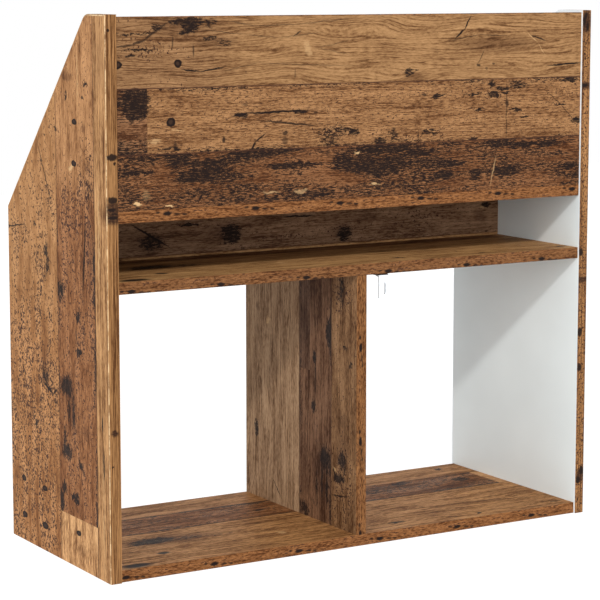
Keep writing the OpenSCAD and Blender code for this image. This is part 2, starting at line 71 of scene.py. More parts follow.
class Graph:
    """The nodes of one material or world. Most methods add a node and return its output socket."""

    def __init__(self, owner):
        self.owner = owner
        owner.use_nodes = True
        self.nodes = owner.node_tree.nodes
        self.links = owner.node_tree.links
        self.nodes.clear()

    def add(self, kind, **settings):
        node = self.nodes.new("ShaderNode" + kind)
        for key, value in settings.items():
            setattr(node, key, value)
        return node

    def put(self, socket, value):
        if isinstance(value, bpy.types.NodeSocket):
            self.links.new(value, socket)
        elif socket.type == "RGBA" and len(value) == 3:
            socket.default_value = (*value, 1)
        else:
            socket.default_value = value

    def math(self, operation, *values, clamp=False):
        node = self.add("Math", operation=operation, use_clamp=clamp)
        for socket, value in zip(node.inputs, values):
            self.put(socket, value)
        return node.outputs[0]

    def vector(self, operation, *values):
        node = self.add("VectorMath", operation=operation)
        for socket, value in zip(node.inputs, values):
            self.put(socket, value)
        return node.outputs["Value" if operation == "LENGTH" else "Vector"]

    def split(self, vector):
        node = self.add("SeparateXYZ")
        self.put(node.inputs[0], vector)
        return node.outputs

    def join(self, x, y, z):
        node = self.add("CombineXYZ")
        for socket, value in zip(node.inputs, (x, y, z)):
            self.put(socket, value)
        return node.outputs[0]

    def noise(self, vector, detail=2.0, roughness=0.5, distortion=0.0, color=False):
        node = self.add("TexNoise", noise_dimensions="3D")
        self.put(node.inputs["Vector"], vector)
        self.put(node.inputs["Scale"], 1.0)
        self.put(node.inputs["Detail"], detail)
        self.put(node.inputs["Roughness"], roughness)
        self.put(node.inputs["Distortion"], distortion)
        return node.outputs["Color" if color else 0]

    def stretched(self, values, sizes, *settings):
        """Noise over three values; the first of them are divided by these sizes."""
        parts = [self.math("DIVIDE", value, size) for value, size in zip(values, sizes)]
        return self.noise(self.join(*parts, *values[len(sizes):]), *settings)

    def step(self, value, low, high, to_low=0.0, to_high=1.0):
        """Smooth step from to_low at low to to_high at high."""
        node = self.add("MapRange", interpolation_type="SMOOTHSTEP")
        for socket, number in zip(node.inputs, (value, low, high, to_low, to_high)):
            self.put(socket, number)
        return node.outputs[0]

    def blend(self, factor, first, second, how="MIX"):
        node = self.add("Mix", data_type="RGBA", blend_type=how)
        self.put(node.inputs[0], factor)
        self.put(node.inputs[6], first)
        self.put(node.inputs[7], second)
        return node.outputs[2]

    def ramp(self, value, stops, interpolation="LINEAR"):
        """Colours by value: stops are (position, (red, green, blue))."""
        node = self.add("ValToRGB")
        self.put(node.inputs[0], value)
        node.color_ramp.interpolation = interpolation
        elements = node.color_ramp.elements
        while len(elements) < len(stops):
            elements.new(0.5)
        for element, (position, color) in zip(elements, stops):
            element.position = position
            element.color = (*color, 1)
        return node.outputs

    def placed(self, vector, centre, radii, turn=0.0):
        """Distance from a centre, 1 on the ellipsoid of these radii, turned about the face's normal."""
        if turn == 0:
            scale = [1 / radius for radius in radii]
            offset = [-place / radius for place, radius in zip(centre, radii)]
            return self.vector("LENGTH", self.vector("MULTIPLY_ADD", vector, scale, offset))
        node = self.add("Mapping", vector_type="TEXTURE")
        self.put(node.inputs["Vector"], vector)
        self.put(node.inputs["Location"], centre)
        self.put(node.inputs["Rotation"], (0, 0, math.radians(turn)))
        self.put(node.inputs["Scale"], radii)
        return self.vector("LENGTH", node.outputs[0])

    def object_mm(self, axes="xyz"):
        """Place on the object in millimetres, with its axes in the given order."""
        metres = self.add("TexCoord").outputs["Object"]
        parts = self.split(self.vector("DIVIDE", metres, (MM, MM, MM)))
        return self.join(*[parts["xyz".index(axis)] for axis in axes])

    def surface(self, color, roughness, height, bump, **sockets):
        """Principled surface; sockets are constants by the socket's name with _ for blanks."""
        shader = self.add("BsdfPrincipled")
        self.put(shader.inputs["Base Color"], color)
        self.put(shader.inputs["Roughness"], roughness)
        for name, value in sockets.items():
            self.put(shader.inputs[name.replace("_", " ")], value)
        node = self.add("Bump")
        self.put(node.inputs["Height"], height)
        self.put(node.inputs["Strength"], bump)
        self.put(node.inputs["Distance"], MM)
        self.put(shader.inputs["Normal"], node.outputs[0])
        output = self.add("OutputMaterial")
        self.put(output.inputs["Surface"], shader.outputs[0])
        return self.owner


def new_material(name):
    """The empty graph of a new material."""
    return Graph(bpy.data.materials.new(name))


# How a printed plank looks: its colour, how strong its fibres and growth rings are, how many dots, dashes
# and sooty patches it has, how dark its long edges are, how blotched it is, how far its grain waves, in
# millimetres, and how strong its long grain lines are.
Look = namedtuple("Look", "tint fibres rings dots dashes soot edge blotch wave lines")

# A plank: where it ends across the grain, and its look.
Plank = namedtuple("Plank", "end look")

# A piece of another plank let into one: its range along and across the grain, over how many
# millimetres it starts and stops, and its look.
Block = namedtuple("Block", "low_s high_s low_t high_t soft look")

# A mark: its kind, its place along (s) and across (t) the grain, half its length and width, how strong
# it is, and its turn in degrees.
Mark = namedtuple("Mark", "kind s t half_s half_t strength turn")

# A sheet of planks: which axes run along, across and through the board, where its marked face lies
# on the third axis, where the first plank starts, and what is on it.
Sheet = namedtuple("Sheet", "axes face start planks blocks marks")


def mark_maker(kind, usual_strength=1.0):
    """A function that makes marks of one kind."""
    def make(s, t, half_s=5.0, half_t=5.0, strength=usual_strength, turn=0):
        return Mark(kind, s, t, half_s, half_t, strength, turn)
    return make


nail = mark_maker("hole")
knot = mark_maker("knot")
specks = mark_maker("specks")
stain = mark_maker("stain", 0.8)
fleck = mark_maker("fleck", 0.8)
# A small solid dark mark
dash = mark_maker("crack")


def crack(s0, t0, s1, t1, half_width=0.9, strength=1.0):
    """A thin dark line between two places."""
    length = math.hypot(s1 - s0, t1 - t0)
    turn = math.degrees(math.atan2(t1 - t0, s1 - s0))
    return Mark("crack", (s0 + s1) / 2, (t0 + t1) / 2, length / 2, half_width, strength, turn)


def scratch(s0, t0, s1, t1, half_width=0.9, strength=0.6):
    """A thin pale line between two places."""
    return crack(s0, t0, s1, t1, half_width, strength)._replace(kind="scratch")


# How far inwards of the marked face a mark fades out
MARK_DEPTH = 7.0
# Where each kind of mark fades, as a share of its radius: full inside the first, gone outside the second
FADE = {"hole": (0.0, 1.25), "knot": (0.3, 1.55), "stain": (0.2, 1.5), "fleck": (0.5, 1.2),
        "specks": (0.2, 1.4), "crack": (0.6, 1.5), "scratch": (0.4, 1.15)}

# Inks of the print
NEAR_BLACK = srgb(31, 21, 17)
DARK_BROWN = srgb(70, 43, 30)
DOT_BROWN = srgb(54, 30, 23)
STAIN_BROWN = srgb(46, 27, 20)
NAIL_CORE = srgb(58, 40, 30)
PALE_FLECK = srgb(212, 172, 122)
# What is left of a plank's colour in a full stain
STAIN_SHARE = (0.40, 0.34, 0.32)
# Share of a plank's colour for dark to light tones of its grain
GRAIN_TONES = [(0.0, (0.30, 0.23, 0.19)), (0.28, (0.68, 0.62, 0.58)), (0.5, (1.0, 1.0, 1.0)),
               (1.0, (1.5, 1.56, 1.62))]
# Specular level of the matt print
PRINT_GLOSS = 0.08

# Colour ramps hold the looks: a wave in units of this many millimetres, and for each plank a row number
# that rises by ROW_STEP. A plank's noise lies its row number times ROW_STRETCH further on, and goes on
# by DEPTH_STRETCH for each millimetre through the board.
WAVE_UNIT = 40.0
ROW_STEP = 0.1
ROW_STRETCH = 90.0
DEPTH_STRETCH = 0.02


def marks_of_kind(g, vector, sheet, kind):
    """Strength of all marks of a kind, 0 where there is none."""
    total = None
    full, gone = FADE[kind]
    for mark in sheet.marks:
        if mark.kind != kind:
            continue
        centre = (mark.s, mark.t, sheet.face)
        distance = g.placed(vector, centre, (mark.half_s, mark.half_t, MARK_DEPTH), mark.turn)
        strength = g.step(distance, full, gone, mark.strength, 0.0)
        total = strength if total is None else g.math("MAXIMUM", total, strength)
    return total if total is not None else 0.0


def shaken(g, v, cell, reach, detail=3.0):
    """The place moved about by noise: cell and reach are sizes along, across and through, in mm."""
    noise = g.noise(g.vector("DIVIDE", v, cell), detail, 0.6, color=True)
    offset = g.vector("MULTIPLY", g.vector("SUBTRACT", noise, (0.5, 0.5, 0.5)), reach)
    return g.vector("ADD", v, offset)


def box_share(g, s, t, block):
    """1 inside the block, 0 outside it."""
    middle_s, half_s = (block.low_s + block.high_s) / 2, (block.high_s - block.low_s) / 2
    middle_t, half_t = (block.low_t + block.high_t) / 2, (block.high_t - block.low_t) / 2
    off_s = g.math("ABSOLUTE", g.math("SUBTRACT", s, middle_s))
    inside_s = g.step(off_s, half_s - block.soft / 2, half_s + block.soft / 2, 1.0, 0.0)
    return g.math("MULTIPLY", inside_s, g.math("COMPARE", t, middle_t, half_t))


def looks_at(g, s, t, sheet):
    """The look of the plank or block at each place: its tint, and its traits as plain numbers."""
    start, end = sheet.start, sheet.planks[-1].end
    position = g.math("DIVIDE", g.math("SUBTRACT", t, start), end - start)
    joints = [start] + [plank.end for plank in sheet.planks[:-1]]
    places = [(joint - start) / (end - start) for joint in joints]
    tables = []
    for row, look in enumerate([part.look for part in sheet.planks + sheet.blocks]):
        tables.append([look.tint, (look.fibres, look.rings, look.dots), (look.dashes, look.soot, look.edge),
                       (look.lines, look.blotch, 0), (look.wave / WAVE_UNIT, ROW_STEP * row, 0)])
    values = []
    for column in zip(*tables[:len(places)]):
        values.append(g.ramp(position, list(zip(places, column)), "CONSTANT")[0])
    for block, table in zip(sheet.blocks, tables[len(places):]):
        share = box_share(g, s, t, block)
        # A block that starts softly keeps the plank's own wave and its stretch of the noise
        mixed_count = len(values) if block.soft < 1 else len(values) - 1
        mixed = [g.blend(share, value, other) for value, other in zip(values[:mixed_count], table)]
        values = mixed + values[mixed_count:]
    fibres, rings, dots = g.split(values[1])
    dashes, soot, edge = g.split(values[2])
    lines, blotch = g.split(values[3])[:2]
    wave, row = g.split(values[4])[:2]
    wave = g.math("MULTIPLY", wave, WAVE_UNIT)
    return Look(values[0], fibres, rings, dots, dashes, soot, edge, blotch, wave, lines), row


def joint_gap(g, t, sheet):
    """Distance to the nearest joint between planks, of which a sheet has one or more."""
    gap = None
    for plank in sheet.planks[:-1]:
        distance = g.math("ABSOLUTE", g.math("SUBTRACT", t, plank.end))
        gap = distance if gap is None else g.math("MINIMUM", gap, distance)
    return gap


def centred(g, noise, amount):
    """Noise about 0, times the amount."""
    return g.math("MULTIPLY", g.math("SUBTRACT", noise, 0.5), amount)


# A place on a sheet: as a vector, along and across the grain, and on which layer of the noise
Place = namedtuple("Place", "v s t layer")

# The noises of a plank: slow bends, fibres, long lines, soft blotches and growth rings, and its tone
Grain = namedtuple("Grain", "flow fibres lines blotch ring tone")


def plank_grain(g, place, look):
    """Growth rings, fibres, long lines and soft blotches."""
    s, t, layer = place.s, place.t, place.layer
    flow = g.stretched((s, t, layer), (170.0, 42.0), 1.0)
    bent = g.math("ADD", t, g.math("MULTIPLY", centred(g, flow, 2.0), look.wave))
    bands = g.stretched((s, bent, layer), (320.0, 14.0), 1.0, 0.4)
    ring = g.math("FRACT", g.math("MULTIPLY", bands, 8.0))
    ring = g.math("MULTIPLY", g.step(ring, 0.55, 0.92), g.step(ring, 0.93, 1.0, 1.0, 0.0))
    fibres = g.stretched((s, bent, layer), (9.0, 1.5), 3.0, 0.7)
    lines = g.stretched((s, bent, layer), (120.0, 1.9), 2.0, 0.6)
    blotch = g.stretched((s, t, layer), (62.0, 15.0), 2.0)
    tone = g.math("MULTIPLY_ADD", centred(g, fibres, 2.6), look.fibres, 0.5)
    tone = g.math("MULTIPLY_ADD", centred(g, lines, 3.2), look.lines, tone)
    tone = g.math("MULTIPLY_ADD", centred(g, blotch, 1.8), look.blotch, tone)
    tone = g.math("MULTIPLY_ADD", g.math("MULTIPLY", ring, look.rings), -0.5, tone, clamp=True)
    return Grain(flow, fibres, lines, blotch, ring, tone)


def plank_dots(g, place, sheet, look, grain):
    """Where dots are, small ones and fewer large ones, both in loose clusters."""
    crowd = g.math("MULTIPLY_ADD", marks_of_kind(g, place.v, sheet, "specks"), 0.55, look.dots)
    crowd = g.math("ADD", crowd, g.math("MULTIPLY", centred(g, grain.blotch, 2.4), look.dots))
    crowd = g.math("MINIMUM", crowd, 1.15)
    small = g.stretched(place[1:], (3.4, 3.4), 2.0, 0.6, 0.6)
    small = g.step(g.math("SUBTRACT", small, g.math("MULTIPLY_ADD", crowd, -0.20, 0.75)), 0.0, 0.03)
    large = g.stretched(place[1:], (8.0, 6.0), 4.0, 0.7, 1.0)
    large = g.step(g.math("SUBTRACT", large, g.math("MULTIPLY_ADD", crowd, -0.20, 0.79)), 0.0, 0.03)
    return g.math("MULTIPLY", g.math("MAXIMUM", small, large), g.step(grain.lines, 0.4, 0.6, 0.8, 1.0))


def plank_ink(g, place, rag, sheet, look, grain, near_joint):
    """Dashes, dark patches, dark edges and knots: one ink, printed through a fibrous noise."""
    density = g.math("MULTIPLY_ADD", look.dashes, 0.22, look.soot)
    density = g.math("ADD", density, g.math("MULTIPLY", centred(g, grain.flow, 2.6), look.soot))
    density = g.math("ADD", density, g.math("MULTIPLY", centred(g, grain.blotch, 2.6), look.soot))
    wear_and_highlight = g.math("MULTIPLY", g.step(near_joint, 0.0, 9.0, 1.0, 0.0), look.edge)
    density = g.math("ADD", density, g.math("MULTIPLY", wear_and_highlight, g.step(grain.blotch, 0.38, 0.6)))
    density = g.math("ADD", density, marks_of_kind(g, rag, sheet, "knot"))
    density = g.math("MINIMUM", density, 0.8)
    ink = g.stretched(place[1:], (7.0, 1.7), 4.0, 0.8)
    edge = g.math("MULTIPLY_ADD", density, -0.40, 0.67)
    ink = g.step(g.math("SUBTRACT", ink, edge), 0.0, 0.07)
    ink = g.math("MULTIPLY", ink, g.step(grain.fibres, 0.52, 0.72, 1.0, 0.5))
    return ink, g.blend(g.step(density, 0.15, 0.55), DARK_BROWN, NEAR_BLACK)


def old_planks(name, sheet, seed=0.0):
    """Matt laminate printed with old planks."""
    g = new_material(name)
    v = g.object_mm(sheet.axes)
    s, t, w = g.split(v)
    look, row = looks_at(g, s, t, sheet)
    layer = g.math("MULTIPLY_ADD", row, ROW_STRETCH, g.math("MULTIPLY_ADD", w, DEPTH_STRETCH, seed))
    place = Place(v, s, t, layer)
    grain = plank_grain(g, place, look)
    color = g.blend(1.0, look.tint, g.ramp(grain.tone, GRAIN_TONES)[0], "MULTIPLY")

    # Ragged coordinates for the marks
    rag = shaken(g, v, (12.0, 6.0, 12.0), (22.0, 13.0, 0.0), 4.0)
    fine = shaken(g, v, (9.0, 9.0, 9.0), (4.0, 4.0, 0.0), 2.0)
    color = g.blend(marks_of_kind(g, rag, sheet, "stain"), color, STAIN_SHARE, "MULTIPLY")
    color = g.blend(plank_dots(g, place, sheet, look, grain), color, DOT_BROWN)
    near_joint = joint_gap(g, t, sheet)
    ink, ink_color = plank_ink(g, place, rag, sheet, look, grain, near_joint)
    color = g.blend(ink, color, ink_color)

    # Pale flecks and scratches, cracks and nail holes
    color = g.blend(marks_of_kind(g, rag, sheet, "fleck"), color, PALE_FLECK)
    color = g.blend(marks_of_kind(g, fine, sheet, "scratch"), color, PALE_FLECK)
    color = g.blend(marks_of_kind(g, fine, sheet, "crack"), color, NEAR_BLACK)
    hole = marks_of_kind(g, fine, sheet, "hole")
    core = g.blend(g.step(hole, 0.45, 0.95), NEAR_BLACK, NAIL_CORE)
    color = g.blend(g.step(hole, 0.03, 0.13), color, core)

    # Dark joints between the planks, broken here and there
    joint = g.step(near_joint, 0.4, 1.2, 1.0, 0.0)
    joint = g.math("MULTIPLY", joint, g.step(grain.ring, 0.0, 0.5, 0.8, 0.45))
    color = g.blend(joint, color, DARK_BROWN)

    height = g.math("SUBTRACT", grain.fibres, ink)
    roughness = g.step(grain.tone, 0.0, 1.0, 0.66, 0.5)
    return g.surface(color, roughness, height, 0.1, Specular_IOR_Level=PRINT_GLOSS)


# Looks, in the order tint, fibres, rings, dots, dashes, soot, edge, blotch, wave and lines
BACK_TAN = Look(srgb(148, 110, 72), 0.6, 0.6, 0.05, 0.0, 0.0, 0.0, 0.35, 18, 0.27)
BACK_SHADE = Look(srgb(133, 97, 64), 0.65, 0.7, 0.4, 0.8, 0.0, 0.0, 0.6, 16, 0.35)
BACK_BROWN = Look(srgb(141, 101, 65), 0.95, 0.35, 0.45, 1.35, 0.02, 0.25, 0.7, 5, 0.4)
BACK_DARK = Look(srgb(119, 79, 49), 1.05, 0.1, 0.42, 0.7, 0.34, 0.25, 1.0, 6, 0.4)
BACK_BLOCK = Look(srgb(118, 81, 53), 1.3, 0.1, 0.3, 0.8, 0.28, 0.2, 1.8, 6, 0.6)
SPARSE_TAN = Look(srgb(172, 124, 79), 0.45, 0.1, 0.7, 0.4, 0.0, 0.05, 0.7, 8, 0.1)
SPECKLED_TAN = Look(srgb(173, 122, 76), 0.4, 0.1, 1.1, 0.3, 0.0, 0.05, 0.9, 8, 0.1)
WORN_BROWN = Look(srgb(149, 100, 62), 0.75, 0.15, 0.85, 0.75, 0.1, 0.5, 1.0, 10, 0.3)
SMOOTH_TAN = Look(srgb(171, 123, 80), 0.7, 0.3, 0.5, 0.4, 0.0, 0.05, 0.7, 6, 0.25)
STRAIGHT_TAN = Look(srgb(172, 127, 82), 0.7, 0.4, 0.0, 0.25, 0.0, 0.1, 0.6, 2, 0.75)
PALE_BLOCK = Look(srgb(194, 147, 99), 0.9, 0.4, 0.0, 0.0, 0.0, 0.0, 0.8, 10, 0.35)
GREY_BROWN = Look(srgb(154, 122, 91), 0.65, 0.5, 0.0, 0.1, 0.0, 0.1, 0.5, 14, 0.4)
DEEP_BROWN = Look(srgb(110, 78, 55), 0.9, 0.4, 0.15, 0.35, 0.14, 0.4, 1.0, 10, 0.7)
DEEP_BLOCK = Look(srgb(94, 66, 47), 0.9, 0.4, 0.1, 0.3, 0.2, 0.35, 1.0, 10, 0.6)
MID_BROWN = Look(srgb(128, 94, 63), 0.9, 0.2, 0.5, 0.45, 0.05, 0.25, 1.0, 8, 0.4)
FRONT_BROWN = Look(srgb(145, 102, 62), 0.8, 0.5, 0.2, 0.6, 0.0, 0.1, 0.8, 14, 0.5)
RED_BROWN = Look(srgb(132, 87, 51), 0.9, 0.4, 0.2, 0.8, 0.24, 0.45, 1.3, 10, 0.7)
OLIVE_BROWN = Look(srgb(152, 108, 65), 1.0, 0.8, 0.05, 0.2, 0.0, 0.15, 0.6, 14, 0.5)
# Looks of the lower shelf's print, tinted for the light and shade in its narrow gap: painted light and shade
SHELF_MIDDLE = Look(srgb(126, 88, 56), 0.8, 0.4, 0.05, 0.3, 0.05, 0.1, 0.7, 10, 0.6)
SHELF_WALL = Look(srgb(162, 121, 76), 0.6, 0.6, 0.02, 0.1, 0.0, 0.1, 0.5, 14, 0.5)
SHELF_PATCH = Look(srgb(172, 128, 86), 0.7, 0.3, 0.1, 0.2, 0.0, 0.1, 0.6, 10, 0.3)
SHADY_FOOT = Look(srgb(172, 129, 84), 0.8, 0.3, 0.3, 0.3, 0.0, 0.0, 0.8, 4, 0.3)
SHADY_PLANK = Look(srgb(131, 99, 74), 0.8, 0.3, 0.35, 0.5, 0.1, 0.15, 0.9, 10, 0.35)

# Over how many millimetres a block starts that is another piece of wood. Blocks at a board's end run past it.
SHARP = 0.6

# The sheets. On the side panels and the divider s is Z, on all other boards it is X.
BACK_LOW_JOINT = 529.5
BACK_HIGH_JOINT = 610
BACK_SHEET = Sheet("xzy", BOARD_WALL, UPPER_TOP, [
    Plank(BACK_LOW_JOINT, BACK_DARK),
    Plank(BACK_HIGH_JOINT, BACK_BROWN),
    Plank(BACK_TOP, BACK_TAN),
], [
    Block(310.5, 353, BACK_LOW_JOINT, BACK_HIGH_JOINT, SHARP, BACK_BLOCK),
    Block(205, 520, BACK_HIGH_JOINT, BACK_TOP, 110, BACK_SHADE),
], [
    # Top plank: nail holes, a dark swirl near its +X end, long grain lines, and cracks with a long stain
    nail(267.9, 639.6, 5.2, 4.8), nail(349.5, 638.9, 5.5, 5), crack(352, 661, 330, 663, 1.4, 0.8),
    crack(331, 663, 312, 669, 1.5, 0.8), crack(313, 669, 297, 680, 1.5, 0.8),
    crack(298, 679, 284, 689, 1.4, 0.7), knot(296, 684, 11, 5, 0.5), knot(310, 677, 9, 3, 0.4),
    knot(250, 687, 14.7, 8.9, 0.85), knot(239, 690, 6.5, 4.2, 0.75), knot(223, 688, 10.1, 6.3, 0.5),
    knot(268, 691, 12, 5, 0.6), knot(225, 669, 11.9, 3.7, 0.55), knot(203, 664, 15.0, 5.3, 0.45),
    knot(258, 678, 8.8, 4.2, 0.5), dash(246, 655, 1.3, 7, 0.7), dash(275, 666, 1.1, 7, 0.6),
    knot(330, 676, 22, 1.6, 0.5), knot(322, 657, 20, 1.8, 0.6), stain(262, 686, 46, 12, 0.6),
    stain(214, 666, 30, 7, 0.6), specks(306, 657, 34, 16), crack(262, 632, 237, 629, 1.0),
    crack(237, 629, 203, 634, 0.9), knot(334, 650, 9.7, 1.8, 0.5), crack(195, 690, 156, 684, 0.8, 0.5),
    crack(156, 684, 94, 686, 0.8, 0.5), crack(94, 686, 22, 692, 0.8, 0.5),
    crack(234, 680, 174, 674, 0.8, 0.45), crack(174, 674, 125, 669, 0.8, 0.45),
    crack(125, 669, 63, 675, 0.8, 0.4), crack(66, 656, 22, 664, 0.8, 0.4),
    crack(66, 656, 22, 646, 0.8, 0.4), crack(203, 629, 156, 638, 0.8, 0.4),
    crack(156, 638, 22, 632, 0.8, 0.4), crack(104, 670, 93, 677, 0.9, 0.8),
    fleck(83, 655, 5, 10.8, 0.3, -20), crack(101, 630, 101, 618, 1.2, 0.4),
    crack(-168, 693, -159, 677, 1.0), crack(-159, 677, -144, 665, 1.1),
    crack(-137, 662, -182, 669, 0.8, 0.6), crack(-182, 669, -229, 667, 0.8, 0.5),
    stain(-209, 657, 74, 11, 0.75), stain(-168, 663, 31, 5, 0.5), scratch(-259, 672, -280, 657, 0.9, 0.4),
    scratch(-280, 657, -291, 640, 0.9, 0.4), crack(-269, 667, -291, 660, 1.0, 0.9),
    crack(-298, 626, -352, 629, 1.2), crack(-182, 632, -191, 648, 0.7, 0.6), dash(-182, 629, 2.8, 1.7, 0.8),
    dash(-206, 630, 2.1, 1.4, 0.7), dash(-195, 624, 2.1, 1.4, 0.6), knot(-70, 622, 11.3, 6.1, 0.7),
    knot(-76, 626, 14.7, 1.4, 0.6), stain(-80, 617, 16.7, 6.1), stain(-113, 650, 4.7, 3.4, 0.4),
    # Middle plank: a nail hole, knots of the dark block, long cracks, and small marks along its lower edge
    nail(278.3, 568.5, 6, 5.4), knot(324, 599, 14, 10), knot(326, 583, 17, 9, 0.8),
    knot(345, 592, 8, 3, 0.3), crack(192, 572.5, 169, 576, 1.5), crack(173, 576, 86, 577, 1.4),
    knot(179, 574, 7.9, 2.4, 0.8), knot(93, 576, 9.4, 2.7, 0.7), dash(71, 574, 3.2, 2.2, 0.6),
    crack(151, 566, 76, 558, 1.2, 0.9), dash(174, 587, 3.6, 1.6, 0.55), knot(280, 536, 13.4, 1.6, 0.8),
    dash(273, 539, 2.3, 5.7, 0.6), dash(204, 544, 2.4, 3.7, 0.9), crack(165, 529, 159, 540, 1.3),
    crack(159, 540, 145, 549, 1.0), dash(116, 549, 3.7, 2.2, 0.8), dash(116, 540, 4.3, 4.3, 0.6),
    knot(50, 544, 17, 11, 0.25), knot(31, 551, 14.7, 5.5, 0.3), specks(50, 546, 28.7, 13.6),
    fleck(270, 558, 9.9, 1.0, 0.4), fleck(300, 546, 8.7, 2.6, 0.35), dash(-95, 592, 4.0, 1.7, 0.8),
    knot(-117, 589, 8.8, 2.2, 0.9), knot(-204, 604, 5, 5, 0.5), knot(-224, 597, 12, 1.6, 0.7),
    knot(-226, 592, 8, 1.4, 0.6), knot(-173, 591, 13.8, 1.7, 0.5), knot(-206, 590, 10, 4.5, 0.45),
    dash(-229, 577, 2.8, 4.6, 0.8), knot(-182, 570, 7.6, 1.7, 0.6), knot(-244, 567, 10.6, 1.7, 0.5),
    knot(-248, 601, 15.6, 4.6, 0.35), crack(-228.5, 606, -228.5, 530, 0.7, 0.75),
    knot(-259, 558, 7.1, 1.2, 0.5), knot(-334, 606, 11.0, 2.6), crack(-296, 591, -320, 572, 0.8, 0.6),
    crack(-320, 572, -345, 549, 0.8, 0.6), knot(-345, 551, 8.8, 3.5, 0.6), knot(-318, 573, 10.9, 1.2, 0.6),
    specks(-309, 585, 43.7, 17.5, 0.6), specks(-185, 590, 50, 16, 0.5), knot(15, 548, 8, 4.5, 0.5),
    knot(-29, 535, 8, 5.5, 0.5), knot(-47, 543, 6, 6, 0.35), crack(-45, 537, -58, 533, 1.0, 0.8),
    knot(-105, 546, 12.1, 1.2, 0.7), knot(-105, 541, 12.1, 1.2, 0.7), dash(-86, 538, 0.9, 6.7, 0.7),
    knot(-175, 531, 6.9, 1.7, 0.7), specks(-90, 541, 54, 8.4, 0.8),
    # Bottom plank: sooty patches under the joint, with small pale flecks
    knot(156, 526, 33.8, 3.4, 0.75), knot(236, 516, 40, 4, 0.35), knot(240, 506, 44, 4, 0.32),
    knot(327, 508, 25.8, 2.1, 0.65), knot(249, 498, 20.7, 4.7, 0.45), knot(104, 508, 37.6, 3.2, 0.6),
    knot(31, 507, 16.0, 10.9, 0.4), knot(272, 518, 11.7, 7.8, 0.35), knot(-30, 523, 36.2, 4.4, 0.75),
    knot(-20, 502, 46.0, 12.7, 0.35), knot(-90, 516, 20.1, 3.9, 0.5), knot(-269, 521, 61.3, 3.8, 0.65),
    knot(-140, 500, 20.5, 3.4, 0.4), knot(-127, 486, 13.6, 5.1, 0.45), knot(-178, 484, 6.9, 6.8, 0.5),
    knot(-227, 486, 21.1, 5.2, 0.45), knot(-334, 488, 14.6, 4.1, 0.5), knot(9, 497, 12.9, 3.3, 0.6),
    dash(-127, 467, 5.4, 1.4, 0.7), knot(-327, 466, 8.7, 1.5, 0.5), knot(65, 469, 12.7, 2.7, 0.8),
    knot(135, 467, 9.2, 2.1, 0.5), crack(241, 469, 235, 478, 1.2), fleck(326, 470, 6.3, 3.1, 0.9),
    fleck(281, 466, 6.4, 1.6, 0.9), fleck(136, 475, 13.6, 2.1, 0.45), fleck(94, 474, 9.4, 3.2, 0.4),
    fleck(313, 481, 5.7, 7.8, 0.15), fleck(7, 521, 5.8, 1.9), fleck(-20, 478, 8.5, 1.4, 0.6),
    scratch(-213, 511, -202, 465, 1.2, 0.35),
])

